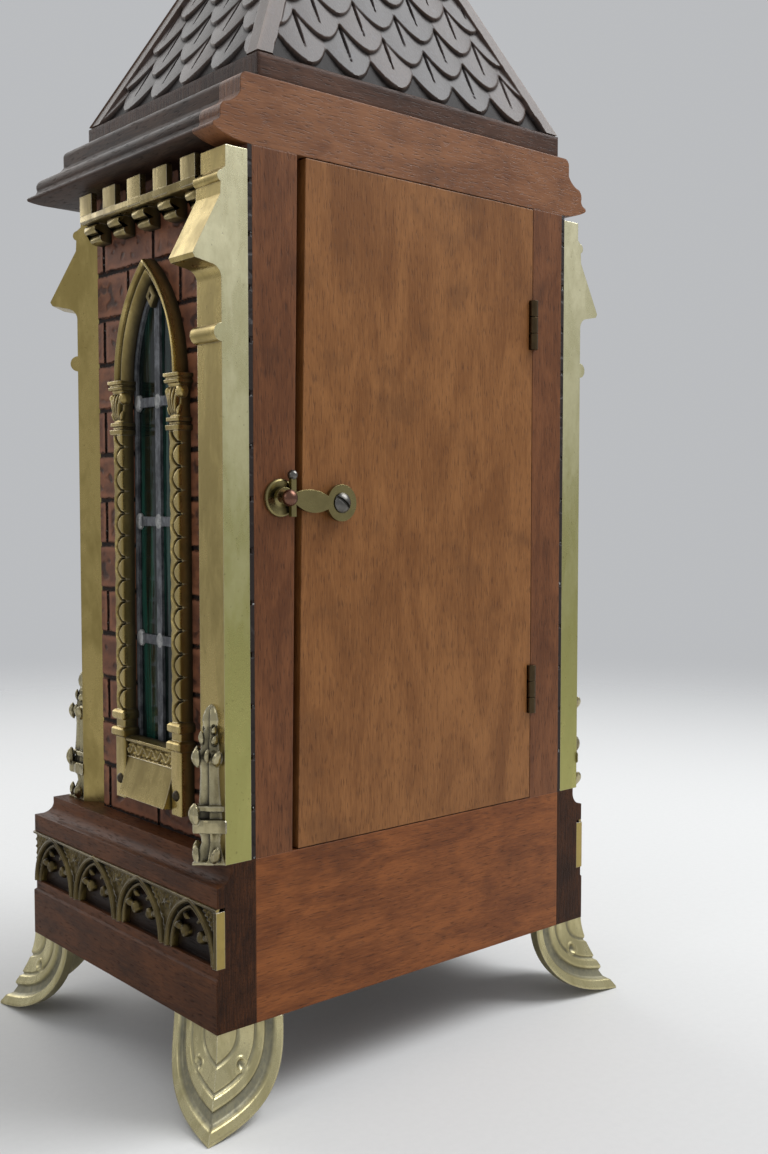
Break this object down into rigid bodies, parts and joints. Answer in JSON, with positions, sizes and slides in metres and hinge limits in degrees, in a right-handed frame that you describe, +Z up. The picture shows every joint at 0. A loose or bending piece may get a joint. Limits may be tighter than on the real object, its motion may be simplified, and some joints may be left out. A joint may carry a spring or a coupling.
{
  "type": "steeple clock",
  "caption": "Gothic church-tower table clock with a wooden case, brick-pattern sides, leaded lancet windows, cast brass trim, shingled steeple roof and a hinged, latched back door.",
  "frame": {"origin": "on the table under the middle of the feet", "axes": "+Z up, dial towards -Y, back door towards +Y, +X to the left of someone facing the back door"},
  "size_m": [0.2034, 0.155, 0.4971],
  "materials": {
    "dark_wood": "dark polished hardwood",
    "door_wood": "brown waxed hardwood",
    "red_wood": "reddish waxed hardwood",
    "case_wood": "plain inner boards",
    "brick": "thin facing carved and painted as brickwork",
    "pale_brass": "cast, pale and tarnished in the recesses",
    "brass": "satin",
    "steel": "satin",
    "copper_stud": "browned copper",
    "green_glass": "dark green cathedral glass",
    "lead": "dull lead strip",
    "clear_glass": "clear",
    "dial_white": "matt enamel with plain numerals"
  },
  "bodies": {
    "case": {"plinth_side_right": "dark_wood", "plinth_side_left": "dark_wood", "plinth_front": "dark_wood", "plinth_back": "red_wood", "case_floor": "case_wood", "case_side_right": "case_wood", "case_side_left": "case_wood", "front_panel": "case_wood", "back_stile_right": "red_wood", "back_stile_left": "red_wood", "brick_facing_right": "brick", "brick_facing_left": "brick", "brick_facing_front": "brick", "cornice_right": "dark_wood", "cornice_left": "dark_wood", "cornice_front": "dark_wood", "cornice_back": "door_wood", "roof_board": "dark_wood", "roof_slope_back": "dark_wood", "roof_slope_front": "dark_wood", "roof_slope_right": "dark_wood", "roof_slope_left": "dark_wood", "roof_finial": "pale_brass", "foot_back_right": "pale_brass", "foot_back_left": "pale_brass", "foot_front_right": "pale_brass", "foot_front_left": "pale_brass", "buttresses": "pale_brass", "pinnacles": "pale_brass", "battlements": "pale_brass", "arcade_friezes": "pale_brass", "window_frames": "pale_brass", "window_glass": "green_glass", "lead_cames": "lead", "hinge_case_leaves": "brass", "hinge_pins": "steel", "latch_stud": "copper_stud", "dial_plate": "dial_white", "front_plate": "brass", "back_plate": "brass"},
    "back_door": {"back_door": "door_wood", "hinge_door_leaves": "brass", "latch_screw": "steel"},
    "latch_hook": {"latch_hook": "brass"},
    "bezel": {"bezel": "pale_brass", "dial_glass": "clear_glass"},
    "minute_hand": {"cannon_pinion": "brass", "minute_hand": "steel"},
    "centre_wheel": {"centre_wheel": "brass"},
    "hour_wheel": {"hour_wheel": "brass", "hour_hand": "steel"},
    "minute_wheel": {"minute_wheel": "brass"},
    "spring_barrel": {"spring_barrel": "brass"},
    "third_wheel": {"third_wheel": "brass"},
    "escape_wheel": {"escape_wheel": "brass"},
    "winding_arbor": {"winding_arbor": "steel"},
    "pendulum": {"pendulum": "brass"},
    "pallet_anchor": {"pallet_anchor": "steel"}
  },
  "joints": [
    {"name": "door_hinge", "type": "hinge", "parent": "case", "child": "back_door", "pos_m": [-0.05825, 0.0671, 0.2012], "axis": [0, 0, 1], "range_deg": [0, 165]},
    {"name": "latch_pivot", "type": "hinge", "parent": "back_door", "child": "latch_hook", "pos_m": [0.0407, 0.0692, 0.2032], "axis": [0, -1, 0], "range_deg": [0, 100]},
    {"name": "bezel_hinge", "type": "hinge", "parent": "case", "child": "bezel", "pos_m": [-0.0506, -0.0557, 0.25], "axis": [0, 0, -1], "range_deg": [0, 110]},
    {"name": "minute_turn", "type": "hinge", "parent": "case", "child": "minute_hand", "pos_m": [0, -0.045, 0.25], "axis": [0, 1, 0], "continuous": true},
    {"name": "hour_turn", "type": "hinge", "parent": "case", "child": "hour_wheel", "pos_m": [0, -0.045, 0.25], "axis": [0, 1, 0], "continuous": true},
    {"name": "minute_wheel_turn", "type": "hinge", "parent": "case", "child": "minute_wheel", "pos_m": [0.015, -0.038, 0.25], "axis": [0, 1, 0], "continuous": true},
    {"name": "centre_turn", "type": "hinge", "parent": "case", "child": "centre_wheel", "pos_m": [0, -0.025, 0.25], "axis": [0, 1, 0], "continuous": true},
    {"name": "barrel_turn", "type": "hinge", "parent": "case", "child": "spring_barrel", "pos_m": [0, -0.025, 0.226], "axis": [0, 1, 0], "continuous": true},
    {"name": "third_turn", "type": "hinge", "parent": "case", "child": "third_wheel", "pos_m": [-0.01677, -0.022, 0.26264], "axis": [0, 1, 0], "continuous": true},
    {"name": "escape_turn", "type": "hinge", "parent": "case", "child": "escape_wheel", "pos_m": [0, -0.022, 0.27259], "axis": [0, 1, 0], "continuous": true},
    {"name": "winding_turn", "type": "hinge", "parent": "case", "child": "winding_arbor", "pos_m": [0, -0.04, 0.226], "axis": [0, 1, 0], "continuous": true},
    {"name": "pendulum_swing", "type": "hinge", "parent": "case", "child": "pendulum", "pos_m": [0, 0.002, 0.28409], "axis": [0, 1, 0], "range_deg": [-4, 4]},
    {"name": "pallet_rock", "type": "hinge", "parent": "case", "child": "pallet_anchor", "pos_m": [0, -0.02, 0.28409], "axis": [0, 1, 0], "range_deg": [-4, 4]}
  ],
  "couplings": [
    {"joint": "hour_turn", "follows": "minute_turn", "ratio": 0.083333},
    {"joint": "minute_wheel_turn", "follows": "minute_turn", "ratio": -0.33333},
    {"joint": "third_turn", "follows": "escape_turn", "ratio": -0.083333},
    {"joint": "centre_turn", "follows": "escape_turn", "ratio": 0.0064103},
    {"joint": "barrel_turn", "follows": "escape_turn", "ratio": -0.00071225},
    {"joint": "pallet_rock", "follows": "pendulum_swing", "ratio": 1}
  ]
}
